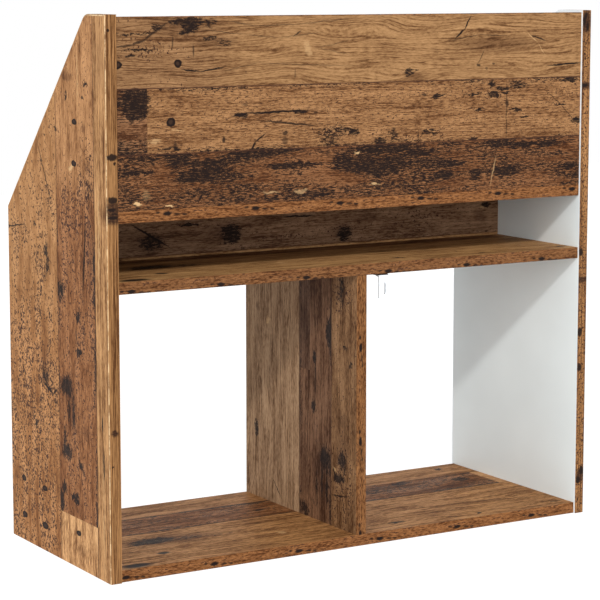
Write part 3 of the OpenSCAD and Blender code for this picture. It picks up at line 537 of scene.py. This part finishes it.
SIDE_MARKS = [
    # Nail holes
    nail(566.9, 60, 3.6, 7), nail(515.1, 57.6, 3.4, 7), nail(84.3, -110.2, 3.8, 7),
    nail(83.3, -44.2, 3.6, 8), nail(35.1, -108.9, 4, 8), nail(33.6, -44.2, 4.5, 9),
    nail(45.6, 57.6, 3.5, 7),
    # Upper half of the middle plank: stains and small knots
    stain(622.4, 36.7, 6, 20), stain(614.8, 92, 2, 7), knot(614.8, 92.2, 2, 6), knot(596.6, 85.2, 2.5, 4),
    knot(597, 36.7, 8, 2.5, 0.7), stain(561.3, 85.2, 6, 6), knot(555.7, 3.9, 2.5, 4),
    fleck(509.1, 48, 4, 8), stain(513.5, 96.8, 9, 12, 0.6), knot(482.9, 99.7, 14, 8, 0.4),
    # Upper half of the front plank: cracks, a row of knots, and specks that run over the joint
    crack(464, -14, 536.5, -51.8, 0.9), crack(493.6, -58, 461.5, -80.7, 0.8, 0.5),
    crack(417.6, -148.4, 424.7, -97, 1.0), knot(429.4, -63, 4, 4, 0.8), specks(448, -36, 14, 30, 0.6),
    specks(500, 90, 50, 26), specks(470, 60, 36, 50, 0.7), knot(398, -30, 14, 8, 0.6),
    knot(380, -25, 14, 8, 0.55), knot(364, -32, 8, 6, 0.5), specks(380, -45, 30, 30, 0.7),
    specks(410, -110, 24, 34, 0.6), specks(470, -30, 20, 30, 0.5), specks(330, -80, 40, 60, 0.4),
    # Half way up the middle plank: a knot, a wide crack, specks and stains
    knot(352, 13.7, 11, 10, 0.6), crack(443.8, 88.2, 354.6, 79.4, 1.8), stain(400, 100, 60, 12, 0.5),
    specks(440, 60, 16, 46, 0.7), stain(429.6, 99.7, 12, 10, 0.5),
    # Lower half of the middle plank: large dark knots, cracks and stains
    knot(324.2, 63, 6, 4), crack(309.5, 57.6, 289.1, 57.6, 1.4), knot(278.9, 64.7, 4, 8),
    knot(229.8, 28, 13, 17, 0.75), knot(200, 47, 22, 4, 0.5), knot(203, 34, 16, 4, 0.5),
    stain(222, 40, 16, 20, 0.6), stain(200, 44, 30, 14, 0.6), stain(178, 84, 10, 12, 0.6),
    knot(146, 26, 9, 15, 0.65), knot(162, 20, 14, 4, 0.55), crack(143, 59, 124, 77, 2.2, 0.8),
    knot(133.7, 67.7, 6, 4, 0.7), knot(98, 17, 10, 7, 0.6), knot(84.9, 52.9, 5, 7, 0.9),
    knot(92, 46.9, 5, 13, 0.6), knot(78, 10, 14, 7, 0.7), stain(24, 64.7, 7, 14, 0.45),
    # Lower half of the front plank: a large knot with cracks beside it, and specks
    stain(260.5, -39.1, 16, 16, 0.5), knot(234, -38, 15, 14, 0.6), specks(230, -39, 24, 24),
    crack(224, -42, 213, -13, 2.2), crack(213, -13, 222, -2, 1.8), crack(205, -14, 202, 3, 1, 0.6),
    specks(195, -100, 20, 44), knot(165, -67.8, 6, 4, 0.8), crack(174, -84, 174, -66, 0.8, 0.6),
    specks(173.5, -80.7, 16, 20), crack(150.7, -148.4, 176, 0, 0.5, 0.6), specks(132, -48.6, 20, 22, 0.8),
    specks(90, -70, 60, 80, 0.3),
    # Plank at the wall side: stains, cracks and long pale streaks; one more streak on the middle plank
    stain(458, 148, 14, 16, 1.0), stain(650, 131, 55, 15, 0.4), crack(208, 131, 190, 131, 1.7),
    crack(165, 133.5, 127, 133.5, 1.8), fleck(430, 126, 70, 2, 0.5), fleck(80, 132, 80, 2, 0.4),
    fleck(620, 70, 40, 2, 0.4),
]

SIDE_FRONT_JOINT = 4.5
SIDE_WALL_JOINT = 114.1
SIDE_PLANKS = [
    Plank(SIDE_FRONT_JOINT, SPECKLED_TAN),
    Plank(SIDE_WALL_JOINT, WORN_BROWN),
    Plank(SIDE_WALL, STRAIGHT_TAN),
]


def side_sheet(face, pale_top, smooth_low, sparse_low, shift=0):
    """A side panel's print. The heights say where its pale block ends and its two soft blocks start."""
    return Sheet("zyx", face, SIDE_FRONT, SIDE_PLANKS, [
        Block(-5, pale_top, SIDE_FRONT_JOINT, SIDE_WALL_JOINT, SHARP, PALE_BLOCK),
        Block(smooth_low, 805, SIDE_FRONT_JOINT, SIDE_WALL_JOINT, 70.0, SMOOTH_TAN),
        Block(sparse_low, 810, SIDE_FRONT, SIDE_FRONT_JOINT, 120.0, SPARSE_TAN),
    ], [mark._replace(s=mark.s + shift) for mark in SIDE_MARKS])


RIGHT_SHEET = side_sheet(RIGHT_OUTSIDE, 64.4, 480, 310)
# The left side panel is cut from the same print, further down
LEFT_SHEET = side_sheet(LEFT_OUTSIDE, 30, 590, 440, shift=130)

DIVIDER_FRONT_JOINT = 1
DIVIDER_SHEET = Sheet("zyx", DIVIDER_FACE, BOARD_FRONT, [
    Plank(DIVIDER_FRONT_JOINT, GREY_BROWN),
    Plank(83.4, DEEP_BROWN),
    Plank(BOARD_WALL, MID_BROWN),
], [
    Block(218, 400, DIVIDER_FRONT_JOINT, 28.8, SHARP, DEEP_BLOCK),
], [
    # Grey plank at the front
    knot(114, -116.2, 15, 5, 0.8), stain(287.5, -113.7, 5, 4), fleck(271, -83.7, 7, 4, 0.5, 30),
    crack(47.9, -71.4, 26.2, -49.4, 0.7), stain(200, -78, 55, 6, 0.25),
    # Dark plank in the middle
    knot(238.9, 40.3, 8, 4), crack(234.6, 42.6, 188.1, 42.6, 1.2), knot(171, 38, 9, 5),
    knot(275, 76, 18, 5, 0.8), crack(300, 82, 240, 80, 1.6), knot(104, 66, 17, 12, 0.65),
    knot(72, 60, 34, 3, 0.5), knot(64, 72, 30, 3, 0.55), knot(60, 47, 26, 2.5, 0.4),
    stain(76, 60, 48, 24, 0.6), knot(24, 15, 9, 10, 0.5),
    # Brown plank at the wall side
    knot(334, 110, 26, 8, 0.5), specks(330, 112, 30, 26), specks(58, 114, 60, 36),
    knot(261.3, 117.5, 2, 7, 0.6), knot(241, 131.8, 4, 3), stain(159.4, 112.2, 14, 11, 0.6),
    knot(108, 112, 15, 12, 0.6), knot(83, 103, 6, 13, 0.8), crack(96, 88, 80, 97, 1.4),
    fleck(93, 92, 3, 6, 0.5, 30), stain(128, 112, 30, 16, 0.5), crack(100, 120, 84, 112, 1.2, 0.8),
    crack(57.4, 87.9, 61.2, 121, 0.8), specks(100, 112, 30, 26, 0.8),
])

# The bottom panel and the lower shelf show the same print
SHELF_MARKS = [
    # Towards the right side panel
    knot(88, -83, 16, 3), knot(44.9, -43, 9, 3), crack(222.6, -23.7, 177, -12, 1.2),
    stain(110, -40, 90, 10, 0.5), knot(250, 36, 34, 16, 0.9), knot(276, 44, 14, 8, 0.7),
    knot(206, 42, 34, 10, 0.55), stain(232, 40, 80, 26, 0.7), dash(266.8, 96.3, 9, 5),
    knot(160, 48, 30, 5, 0.4), crack(134.9, 65.7, 74.9, 57.2, 0.9, 0.6), fleck(84.3, 82, 5, 10, 0.35, 20),
    dash(324, 134, 20, 8.5), crack(330, 60, 260, 90, 0.8, 0.6), crack(330, 10, 280, 4, 1.4, 0.7),
    # Towards the left side panel
    knot(-309.3, -123.4, 5, 6), knot(-208.9, -74.7, 14, 6, 0.8), knot(-301.3, -54.4, 12, 10, 0.7),
    stain(-150, -70, 60, 8, 0.5), stain(-230, -20, 90, 8, 0.4), crack(-152, 48, -158, 66, 0.9, 0.8),
    crack(-184, 90, -182, 104, 0.8, 0.7), knot(-76.2, 114.9, 12, 5), knot(-336.4, 127.7, 10, 3),
    knot(-203.9, 129.1, 5, 3), crack(-216.7, 60.7, -348.5, 98, 0.9, 0.6),
]


def shelf_sheet(top_z, front_look, middle_look, wall_look):
    """The print of the bottom panel or the lower shelf, three planks from front to wall side."""
    front_joint, wall_joint = -85, -6
    return Sheet("xyz", top_z, BOARD_FRONT, [
        Plank(front_joint, front_look),
        Plank(wall_joint, middle_look),
        Plank(BOARD_WALL, wall_look),
    ], [
        Block(-353, -337, front_joint, wall_joint, SHARP, SHELF_PATCH),
    ], SHELF_MARKS)


MIDDLE_SHEET = Sheet("xzy", MIDDLE_FACE, LOWER_TOP, [
    Plank(378.5, SHADY_FOOT),
    Plank(UPPER_TOP, SHADY_PLANK),
    Plank(MIDDLE_TOP, MID_BROWN),
], [], [
    # Three large knots in their stains
    knot(212, 396, 17, 12, 0.5), stain(212, 396, 26, 14, 0.6), crack(238.8, 421.2, 184.4, 389.2, 1.4),
    specks(211, 398, 26, 14), knot(90, 401, 15, 14, 0.6), stain(98, 404, 30, 14),
    stain(120, 410, 20, 5, 0.5), knot(-90.6, 391, 12, 10, 0.6), stain(-85, 396, 20, 10, 0.6),
    # Small marks and specks between and beside them
    knot(154.5, 417.2, 15, 1.6), crack(10, 420.5, -40, 419, 1.2), specks(10, 391, 60, 6),
    specks(300, 388, 50, 6, 0.8), knot(-330.4, 419.2, 6, 3.5), fleck(-323, 414.7, 4, 3, 0.4),
    stain(-320, 402.8, 10, 9, 0.6), stain(-128.5, 414.9, 14, 6, 0.5), specks(-200, 395, 50, 12),
    specks(-225, 410, 60, 8), specks(-100, 395, 60, 12, 0.7),
])

RAIL_JOINT = 409
RAIL_SHEET = Sheet("xzy", RAIL_FACE, LOWER_TOP, [
    Plank(RAIL_JOINT, BACK_BROWN),
    Plank(RAIL_TOP, BACK_TAN),
], [
    Block(-353, -120, LOWER_TOP, RAIL_JOINT, SHARP, BACK_DARK),
], [
    nail(232, 424), nail(-90, 391), knot(120, 398, 14, 4), crack(-200, 425, -290, 428),
    specks(40, 420, 60, 8),
])

UPPER_SHEET = Sheet("xyz", UPPER_TOP, UPPER_FRONT, [
    Plank(46, OLIVE_BROWN),
    Plank(BOARD_WALL, RED_BROWN),
], [], [
    nail(210, 20), nail(-150, 14), knot(80, 100, 20, 8), crack(-60, 70, -170, 76), knot(-250, 25, 12, 5),
])


# Colours of the boards' edge strips
STRIP = srgb(126, 82, 47)
LOWER_STRIP = srgb(115, 76, 45)
DIVIDER_STRIP = srgb(121, 80, 46)
# After how many millimetres a strip's dark blob comes back
BLOB_REPEAT = 125.0
# The blob's tails: how far along from it, and half how long
BLOB_TAILS = ((-14, 5.0), (-24, 3.5), (13, 3.0))


def edge_strip(name, axes, first_blob, middle, tint):
    """Printed edging: orange brown with dark dashes, and a dark blob that comes back with each repeat."""
    g = new_material(name)
    v = g.object_mm(axes)
    s, t, w = g.split(v)
    fibres = g.stretched((s, t, w), (7.0, 1.6, 1.6), 3.0, 0.7)
    bands = g.stretched((s, t, w), (40.0, 4.0, 4.0), 2.0, 0.5)
    tone = g.math("ADD", g.math("ADD", centred(g, fibres, 3.2), centred(g, bands, 1.6)), 0.5, clamp=True)
    color = g.blend(1.0, tint, g.ramp(tone, GRAIN_TONES)[0], "MULTIPLY")
    dashes = g.stretched((s, t, w), (5.0, 1.8, 1.8), 3.0, 0.7, 0.4)
    crowd = g.math("MULTIPLY_ADD", centred(g, bands, 1.0), -0.6, 0.6)
    dashes = g.step(g.math("SUBTRACT", dashes, crowd), 0.0, 0.05)
    color = g.blend(g.math("MULTIPLY", dashes, 0.9), color, DARK_BROWN)
    wrapped = g.math("WRAP", s, first_blob + BLOB_REPEAT / 2, first_blob - BLOB_REPEAT / 2)
    along = g.math("SUBTRACT", wrapped, first_blob)
    rag = shaken(g, g.join(along, t, 0.0), (5.0, 3.0, 5.0), (6.0, 3.0, 0.0))
    blob = g.step(g.placed(rag, (0, middle, 0), (6.5, 2.6, 1)), 0.6, 1.2, 1.0, 0.0)
    for place, half in BLOB_TAILS:
        tail = g.step(g.placed(rag, (place, middle + 0.1 * place, 0), (half, 1.5, 1)), 0.5, 1.3, 0.85, 0.0)
        blob = g.math("MAXIMUM", blob, tail)
    color = g.blend(blob, color, NEAR_BLACK)
    return g.surface(color, 0.55, fibres, 0.08, Specular_IOR_Level=PRINT_GLOSS)


# Colours of the side panels' edging: the right one is nearer to the photograph's camera
RIGHT_EDGE = srgb(137, 97, 59)
LEFT_EDGE = srgb(141, 99, 60)
# The pale of a painted highlight along the edging's outer arris
PAINTED_ARRIS_HIGHLIGHT = srgb(228, 194, 148)
FLANK_WHITE = srgb(238, 243, 244)
# Dark spots and stains on the edging's wall side: their place, half their size, how deep they reach
Spot = namedtuple("Spot", "z x half_z half_x")
SPOT_DEPTH = 20.0
SPOT_STRENGTH = 0.96
RIGHT_SPOTS = [
    Spot(528.5, 360.0, 4.4, 8), Spot(520.5, 357.0, 2.2, 2), Spot(476.5, 359.8, 4.4, 7.5),
    Spot(465, 361, 2.0, 6.5), Spot(460, 358, 1.2, 5), Spot(455.2, 360, 1.9, 8), Spot(680.7, 363.6, 1.6, 1.6),
    Spot(147.9, 363.3, 1.6, 1.4),
]
RIGHT_STAINS = [
    Spot(465, 359, 9, 13), Spot(455, 359, 8, 12), Spot(189.5, 360, 4, 4.5),
]
LEFT_SPOTS = [
    Spot(368.7, -356.0, 6, 4), Spot(256.7, -356.0, 7, 4.5), Spot(207.0, -356.0, 6, 4), Spot(692, -358, 5, 3),
    Spot(685, -355.5, 6, 3), Spot(678, -361, 6, 2.4), Spot(598, -357, 2.5, 6), Spot(61, -363, 7, 4),
    Spot(47, -357, 6, 4),
]
LEFT_STAINS = [
    Spot(684, -359, 16, 7), Spot(598, -360, 5, 9), Spot(330, -360, 4, 9), Spot(54, -360, 10, 6),
]


def spots_share(g, place, spots, full, gone):
    """How much the spots cover each place: fully inside one share of their radius, not past the other."""
    total = 0.0
    for spot in spots:
        centre = (spot.z, SIDE_WALL, spot.x)
        distance = g.placed(place, centre, (spot.half_z, SPOT_DEPTH, spot.half_x))
        total = g.math("MAXIMUM", total, g.step(distance, full, gone, SPOT_STRENGTH, 0.0))
    return total


def side_edging(name, tint, outer_x, spots, stains, crowd):
    """Wood edging round a side panel: grain along it on every side, and a painted highlight along the outer
    arris, broken here and there.
    """
    g = new_material(name)
    v = g.object_mm("zyx")
    z, y, x = g.split(v)
    bands = g.stretched((x, y, z), (1.4, 220.0, 220.0), 2.0, 0.6)
    fibres = g.stretched((x, y, z), (0.9, 20.0, 20.0), 3.0, 0.7)
    tone = g.math("ADD", g.math("ADD", centred(g, fibres, 2.4), centred(g, bands, 3.4)), 0.5, clamp=True)
    color = g.blend(1.0, tint, g.ramp(tone, GRAIN_TONES)[0], "MULTIPLY")
    dots = g.stretched((x, y, z), (2.4, 3.0, 3.0), 3.0, 0.7, 0.6)
    color = g.blend(g.step(dots, 0.70 - crowd, 0.74 - crowd), color, DOT_BROWN)
    rag = shaken(g, v, (5.0, 5.0, 3.0), (5.0, 0.0, 5.0))
    broken = g.stretched((x, y, z), (5.0, 1.6, 1.6), 3.0, 0.7)
    broken = g.step(broken, 0.38, 0.58, 0.75, 1.0)
    stained = g.math("MULTIPLY", spots_share(g, rag, stains, 0.6, 1.45), broken)
    color = g.blend(stained, color, STAIN_BROWN)
    color = g.blend(spots_share(g, rag, spots, 0.7, 1.15), color, NEAR_BLACK)
    patchy = g.stretched((z, y, 0.0), (16.0, 16.0), 3.0, 0.7)
    # A painted highlight along the outer arris, broken up by a patchy noise
    wear_and_highlight = g.step(g.math("ABSOLUTE", g.math("SUBTRACT", x, outer_x)), 0.2, 0.9, 0.9, 0.0)
    wear_and_highlight = g.math("MULTIPLY", wear_and_highlight, g.step(patchy, 0.4, 0.6, 0.2, 1.0))
    color = g.blend(wear_and_highlight, color, PAINTED_ARRIS_HIGHLIGHT)
    # The strip's flank on the white side of the panel is white
    inner_x = outer_x - math.copysign(SIDE_THICKNESS, outer_x)
    normal_x = g.split(g.add("NewGeometry").outputs["Normal"])[0]
    sideways = g.step(g.math("ABSOLUTE", normal_x), 0.6, 0.8)
    inner = g.math("COMPARE", x, inner_x, 0.3)
    color = g.blend(g.math("MULTIPLY", sideways, inner), color, FLANK_WHITE)
    return g.surface(color, 0.5, fibres, 0.08, Specular_IOR_Level=PRINT_GLOSS)


def white_melamine(name):
    """Smooth white facing with a very fine pearl structure."""
    g = new_material(name)
    v = g.object_mm()
    pearl = g.noise(g.vector("DIVIDE", v, (0.9, 0.9, 0.9)), 2.0, 0.5)
    cloud = g.noise(g.vector("DIVIDE", v, (90.0, 90.0, 90.0)), 2.0, 0.5)
    color = g.ramp(cloud, [(0.3, srgb(231, 237, 235)), (0.7, srgb(236, 242, 240))])[0]
    roughness = g.step(pearl, 0.2, 0.8, 0.34, 0.42)
    return g.surface(color, roughness, pearl, 0.03, Specular_IOR_Level=0.45)


# The wall bracket: the grey of its cut edges, the painted shade on the walls of its slot, the slot's middle
# and half width, and the height above the floor from which its bend under the shelf is painted dark as shade
CUT_EDGE = srgb(176, 178, 180)
PAINTED_SLOT_SHADE = srgb(78, 80, 86)
SLOT_X = -32.0
HALF_SLOT = 2.6
BEND_SHADE_LOW = 358.4


def powder_coat(name):
    """White powder coat with fine orange peel, grey on the cut edges, with painted shade on the slot's walls
    and a dark band of painted shade at the bend under the shelf.
    """
    g = new_material(name)
    v = g.object_mm()
    peel = g.noise(g.vector("DIVIDE", v, (0.7, 0.7, 0.7)), 2.0, 0.5)
    cloud = g.noise(g.vector("DIVIDE", v, (9.0, 9.0, 9.0)), 2.0, 0.5)
    color = g.ramp(cloud, [(0.3, srgb(232, 234, 238)), (0.7, srgb(240, 242, 245))])[0]
    normal_x = g.split(g.add("NewGeometry").outputs["Normal"])[0]
    cut = g.step(g.math("ABSOLUTE", normal_x), 0.6, 0.9)
    parts = g.split(v)
    # Painted shade on the walls of the slot
    in_slot_shade = g.math("COMPARE", parts[0], SLOT_X, HALF_SLOT)
    color = g.blend(cut, color, g.blend(in_slot_shade, CUT_EDGE, PAINTED_SLOT_SHADE))
    # A dark band of painted shade at the top of the bend, under the shelf
    painted_bend_shade = g.step(parts[2], BEND_SHADE_LOW, BEND_SHADE_LOW + 0.5)
    color = g.blend(painted_bend_shade, color, NEAR_BLACK)
    return g.surface(color, g.step(peel, 0.2, 0.8, 0.35, 0.45), peel, 0.1, Specular_IOR_Level=0.4)


def zinc_plate(name):
    """Zinc-plated steel: a faint grain of crystals and short scratches."""
    g = new_material(name)
    v = g.object_mm()
    crystals = g.noise(g.vector("DIVIDE", v, (1.6, 1.6, 1.6)), 3.0, 0.6)
    scratches = g.noise(g.vector("DIVIDE", v, (0.25, 3.0, 3.0)), 2.0, 0.6)
    color = g.ramp(crystals, [(0.25, srgb(132, 135, 140)), (0.75, srgb(176, 179, 182))])[0]
    roughness = g.step(scratches, 0.3, 0.7, 0.26, 0.42)
    return g.surface(color, roughness, scratches, 0.1, Metallic=1.0)


def beech(name):
    """Beech dowels: pale with short darker rays."""
    g = new_material(name)
    v = g.object_mm()
    pores = g.noise(g.vector("DIVIDE", v, (6.0, 0.7, 0.7)), 3.0, 0.6)
    color = g.ramp(pores, [(0.3, srgb(196, 158, 112)), (0.6, srgb(222, 188, 142))])[0]
    return g.surface(color, 0.6, pores, 0.15, Specular_IOR_Level=0.3)


def set_material(node, material):
    """Puts the material in all of the node's slots."""
    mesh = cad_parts[node].data
    if not mesh.materials:
        mesh.materials.append(material)
    for i in range(len(mesh.materials)):
        mesh.materials[i] = material


def dress_boards():
    # The lower shelf shows the bottom panel's print with its own looks, tinted for the light and shade in its
    # gap: painted light and shade
    lower_sheet = shelf_sheet(LOWER_TOP, MID_BROWN, SHELF_MIDDLE, SHELF_WALL)
    bottom_sheet = shelf_sheet(BOTTOM_TOP, FRONT_BROWN, RED_BROWN, OLIVE_BROWN)
    set_material("back_panel", old_planks("back_panel_planks", BACK_SHEET))
    set_material("right_side_panel", old_planks("right_side_planks", RIGHT_SHEET))
    set_material("left_side_panel", old_planks("left_side_planks", LEFT_SHEET))
    set_material("divider_panel", old_planks("divider_planks", DIVIDER_SHEET))
    set_material("bottom_panel", old_planks("bottom_planks", bottom_sheet))
    set_material("lower_shelf", old_planks("lower_shelf_planks", lower_sheet, seed=3.0))
    set_material("upper_shelf", old_planks("upper_shelf_planks", UPPER_SHEET))
    set_material("middle_panel", old_planks("middle_panel_planks", MIDDLE_SHEET))
    set_material("front_rail", old_planks("front_rail_planks", RAIL_SHEET))


def dress_edges():
    set_material("bottom_panel_edging", edge_strip("bottom_strip", "xzy", 345.5, 6.0, STRIP))
    set_material("lower_shelf_edging", edge_strip("lower_shelf_strip", "xzy", 334.0, 363.0, LOWER_STRIP))
    set_material("upper_shelf_edging", edge_strip("upper_shelf_strip", "xzy", 284.0, 456.5, STRIP))
    set_material("divider_edging", edge_strip("divider_strip", "zxy", 265.4, 1.5, DIVIDER_STRIP))
    set_material("back_panel_edging", edge_strip("back_panel_strip", "xyz", 300.0, 140.0, STRIP))
    set_material("middle_panel_edging", edge_strip("middle_panel_strip", "xyz", 250.0, -47.5, STRIP))
    set_material("front_rail_edging", edge_strip("front_rail_strip", "xyz", 310.0, -139.5, STRIP))
    set_material("right_side_edging", side_edging(
        "near_edging", RIGHT_EDGE, RIGHT_OUTSIDE, RIGHT_SPOTS, RIGHT_STAINS, 0.0))
    set_material("left_side_edging", side_edging(
        "far_edging", LEFT_EDGE, LEFT_OUTSIDE, LEFT_SPOTS, LEFT_STAINS, 0.18))


def dress_fittings():
    white = white_melamine("white_melamine")
    set_material("left_facing", white)
    set_material("right_facing", white)
    set_material("wall_bracket", powder_coat("powder_coat"))
    zinc = zinc_plate("zinc_plate")
    wood = beech("beech")
    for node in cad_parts:
        if node.endswith(("_cams", "_bolts", "_screw")):
            set_material(node, zinc)
        if node.endswith("_dowels"):
            set_material(node, wood)


# The camera stands at the wall side, towards the right side panel, a little above the bookcase's top. It
# looks along -Y, turned towards -X and pitched down.
CAMERA_PLACE = Vector((1.53151, 2.54616, 0.74205))
CAMERA_TURN = math.radians(30.927)
CAMERA_PITCH = math.radians(7.505)
# Sensor width and focal length, in millimetres
SENSOR = 36.0
LENS = 132.56
# The lens is shifted down a little: a small share of what parallel upright edges would take
SHIFT = -0.05


def add_camera():
    data = bpy.data.cameras.new("camera")
    data.sensor_width = SENSOR
    data.lens = LENS
    data.shift_y = SHIFT
    camera = bpy.data.objects.new("camera", data)
    look = Vector((-math.sin(CAMERA_TURN) * math.cos(CAMERA_PITCH),
                   -math.cos(CAMERA_TURN) * math.cos(CAMERA_PITCH),
                   -math.sin(CAMERA_PITCH)))
    camera.location = CAMERA_PLACE
    camera.rotation_euler = look.to_track_quat("-Z", "Y").to_euler()
    bpy.context.scene.collection.objects.link(camera)
    bpy.context.scene.camera = camera


# Sun lamps: where each shines from, its strength, its apparent size in degrees, and whether gloss shows it
Sun = namedtuple("Sun", "name towards strength softness gloss")
SUNS = [
    Sun("key", (0.42, 1.0, 0.79), 1.8, 4.0, True),
    Sun("fill", (0.7, 1.0, 0.22), 1.6, 60.0, True),
    Sun("side", (1.0, 0.12, 0.35), 0.4, 30.0, True),
    Sun("front", (-0.35, -1.0, 0.12), 2.0, 30.0, False),
]


def add_sun(sun):
    data = bpy.data.lights.new(sun.name, "SUN")
    data.energy = sun.strength
    data.angle = math.radians(sun.softness)
    lamp = bpy.data.objects.new(sun.name, data)
    lamp.rotation_euler = Vector(sun.towards).to_track_quat("Z", "Y").to_euler()
    lamp.visible_glossy = sun.gloss
    bpy.context.scene.collection.objects.link(lamp)


def seen_directly(g):
    """1 for camera, glossy and transmission rays."""
    rays = g.add("LightPath").outputs
    seen = g.math("MAXIMUM", rays["Is Camera Ray"], rays["Is Glossy Ray"])
    return g.math("MAXIMUM", seen, rays["Is Transmission Ray"])


SKY_COLOR = (0.93, 0.98, 1.04)
SKY_STRENGTH = 0.55
BACKGROUND_WHITE = (1, 1, 1)


def add_world():
    """Plain sky light, white where it is seen."""
    g = Graph(bpy.data.worlds.new("studio"))
    light = g.add("Background")
    g.put(light.inputs["Color"], SKY_COLOR)
    g.put(light.inputs["Strength"], SKY_STRENGTH)
    seen = g.add("Background")
    g.put(seen.inputs["Color"], BACKGROUND_WHITE)
    g.put(seen.inputs["Strength"], 1.0)
    mix = g.add("MixShader")
    output = g.add("OutputWorld")
    g.put(mix.inputs[0], seen_directly(g))
    g.put(mix.inputs[1], light.outputs[0])
    g.put(mix.inputs[2], seen.outputs[0])
    g.put(output.inputs["Surface"], mix.outputs[0])
    bpy.context.scene.world = g.owner


FLOOR_SIZE = 9.0
# A hair below the boards' undersides
FLOOR_Z = -0.0002
# The floor's grey for the light that it throws back, and what the camera sees: a darker grey and a glow,
# which together are white where the floor is lit
FLOOR_GREY = (0.78, 0.78, 0.78)
FLOOR_SEEN_GREY = (0.25, 0.25, 0.25)
FLOOR_GLOW = 0.86


def floor_material():
    g = new_material("floor")
    plain = g.add("BsdfDiffuse")
    g.put(plain.inputs["Color"], FLOOR_GREY)
    seen = g.add("BsdfDiffuse")
    g.put(seen.inputs["Color"], FLOOR_SEEN_GREY)
    glow = g.add("Emission")
    g.put(glow.inputs["Strength"], FLOOR_GLOW)
    both = g.add("AddShader")
    g.put(both.inputs[0], seen.outputs[0])
    g.put(both.inputs[1], glow.outputs[0])
    mix = g.add("MixShader")
    g.put(mix.inputs[0], seen_directly(g))
    g.put(mix.inputs[1], plain.outputs[0])
    g.put(mix.inputs[2], both.outputs[0])
    output = g.add("OutputMaterial")
    g.put(output.inputs["Surface"], mix.outputs[0])
    return g.owner


def add_floor():
    half = FLOOR_SIZE / 2
    corners = [(x, y, FLOOR_Z) for x, y in ((-half, -half), (half, -half), (half, half), (-half, half))]
    mesh = bpy.data.meshes.new("floor")
    mesh.from_pydata(corners, [], [(0, 1, 2, 3)])
    mesh.materials.append(floor_material())
    floor = bpy.data.objects.new("floor", mesh)
    bpy.context.scene.collection.objects.link(floor)


bpy.context.scene.view_settings.view_transform = "Standard"
add_camera()
dress_boards()
dress_edges()
dress_fittings()
for sun in SUNS:
    add_sun(sun)
add_world()
add_floor()
